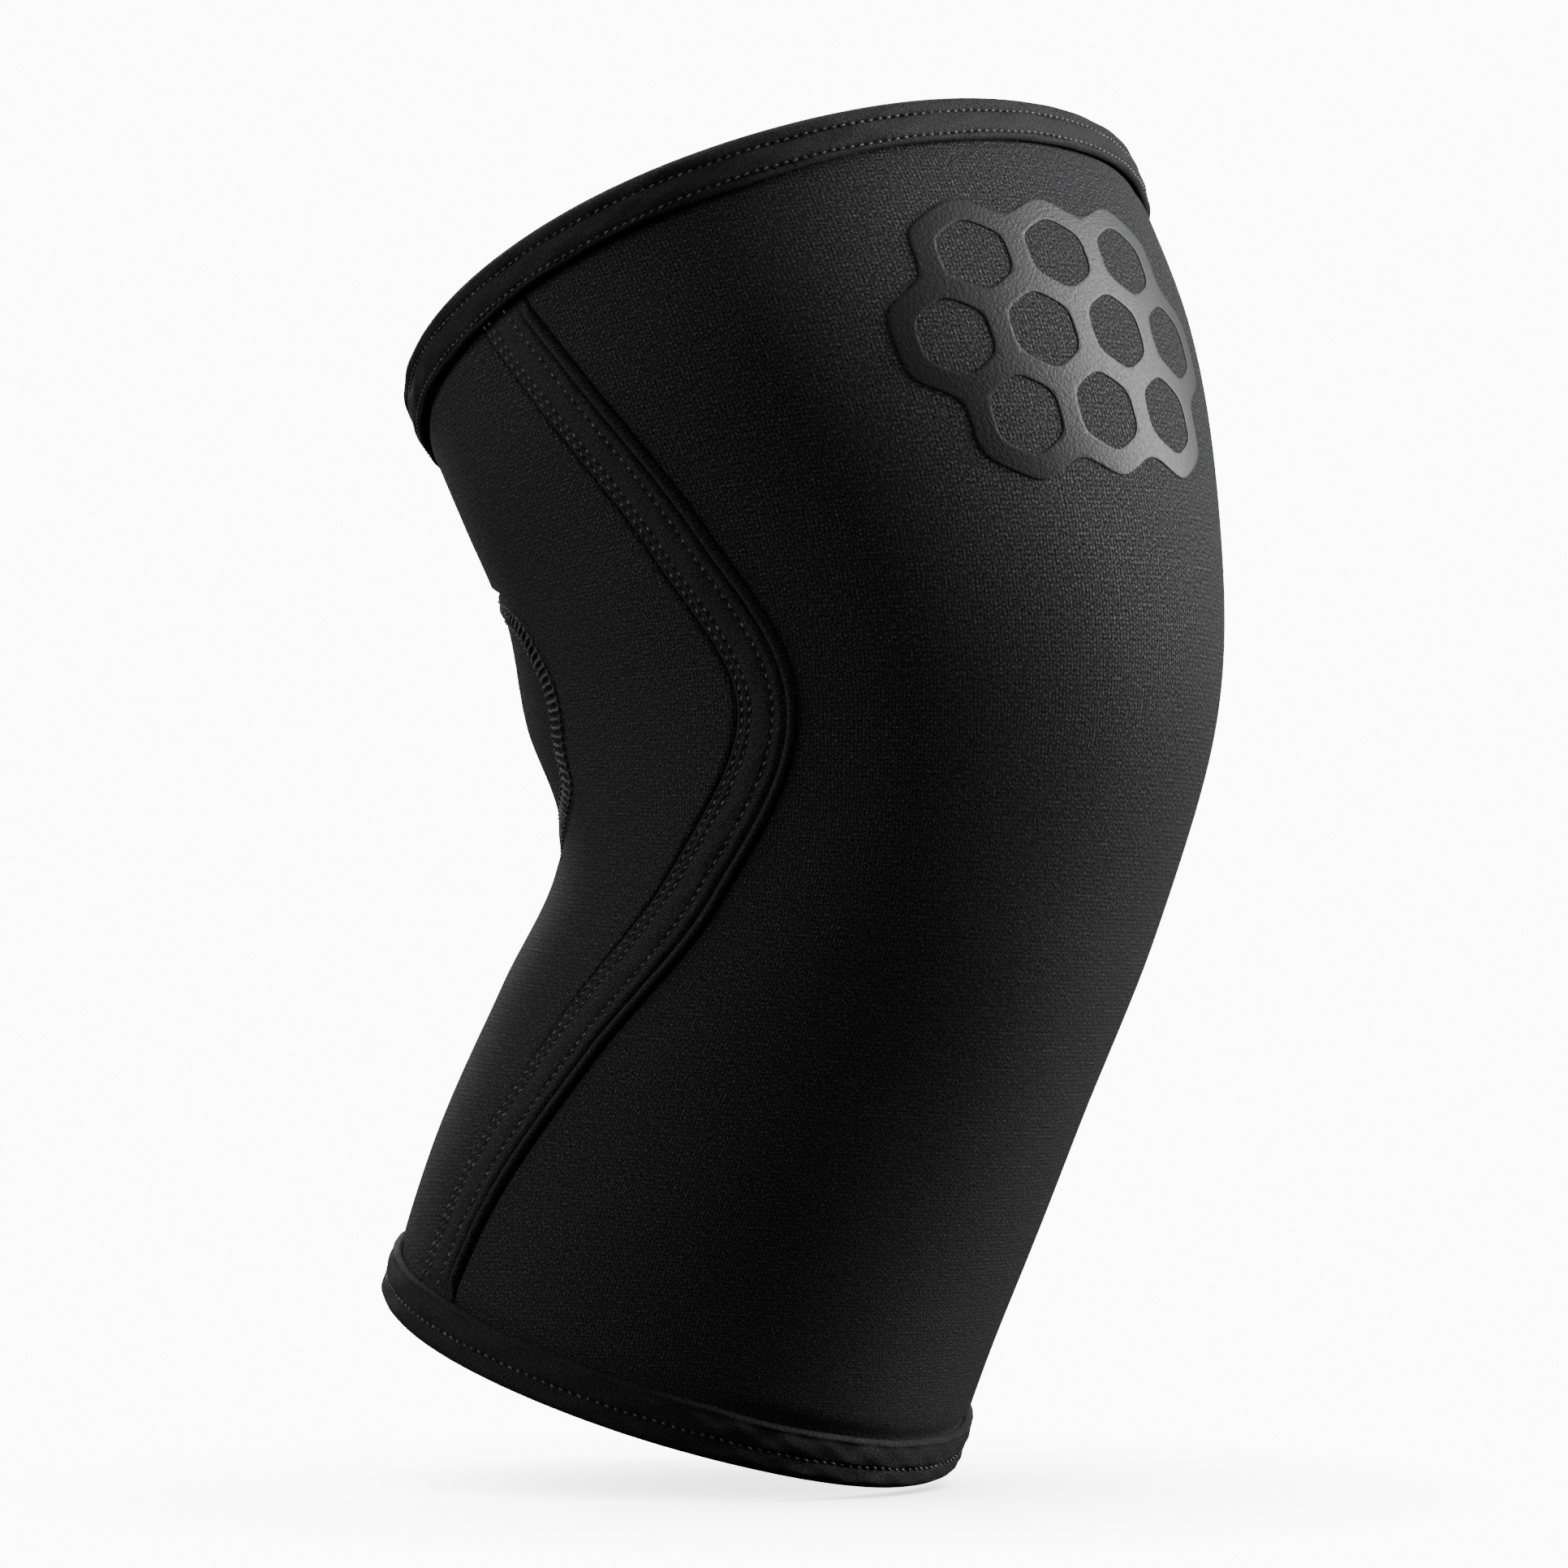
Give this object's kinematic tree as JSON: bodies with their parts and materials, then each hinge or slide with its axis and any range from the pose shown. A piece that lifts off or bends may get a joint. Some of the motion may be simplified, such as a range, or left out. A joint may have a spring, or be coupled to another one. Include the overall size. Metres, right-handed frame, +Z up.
{
  "type": "knee sleeve",
  "caption": "Pull-on knee sleeve of thick padded sheet, shaped for a bent knee, with bound rims, taped side seams and a ribbed insert behind the knee.",
  "frame": {"origin": "middle of the hollow, at the height where the leg bends", "axes": "+Z up the leg, the kneecap faces -Y, the left and right halves mirror each other in X"},
  "size_m": [0.1836, 0.1941, 0.2923],
  "materials": {
    "front_knit": "matt black jersey on foam rubber",
    "rear_knit": "matt black jersey on foam rubber",
    "rib_knit": "matt black fine rib on thinner foam rubber",
    "tape": "matt black folded knit tape",
    "film": "satin grey grip film"
  },
  "bodies": {
    "root": {"front_panel": "front_knit", "rear_panel": "rear_knit", "knee_hollow_insert": "rib_knit", "right_seam_band": "tape", "left_seam_band": "tape", "thigh_hem": "tape", "calf_hem": "tape", "grip_print": "film"}
  },
  "joints": []
}
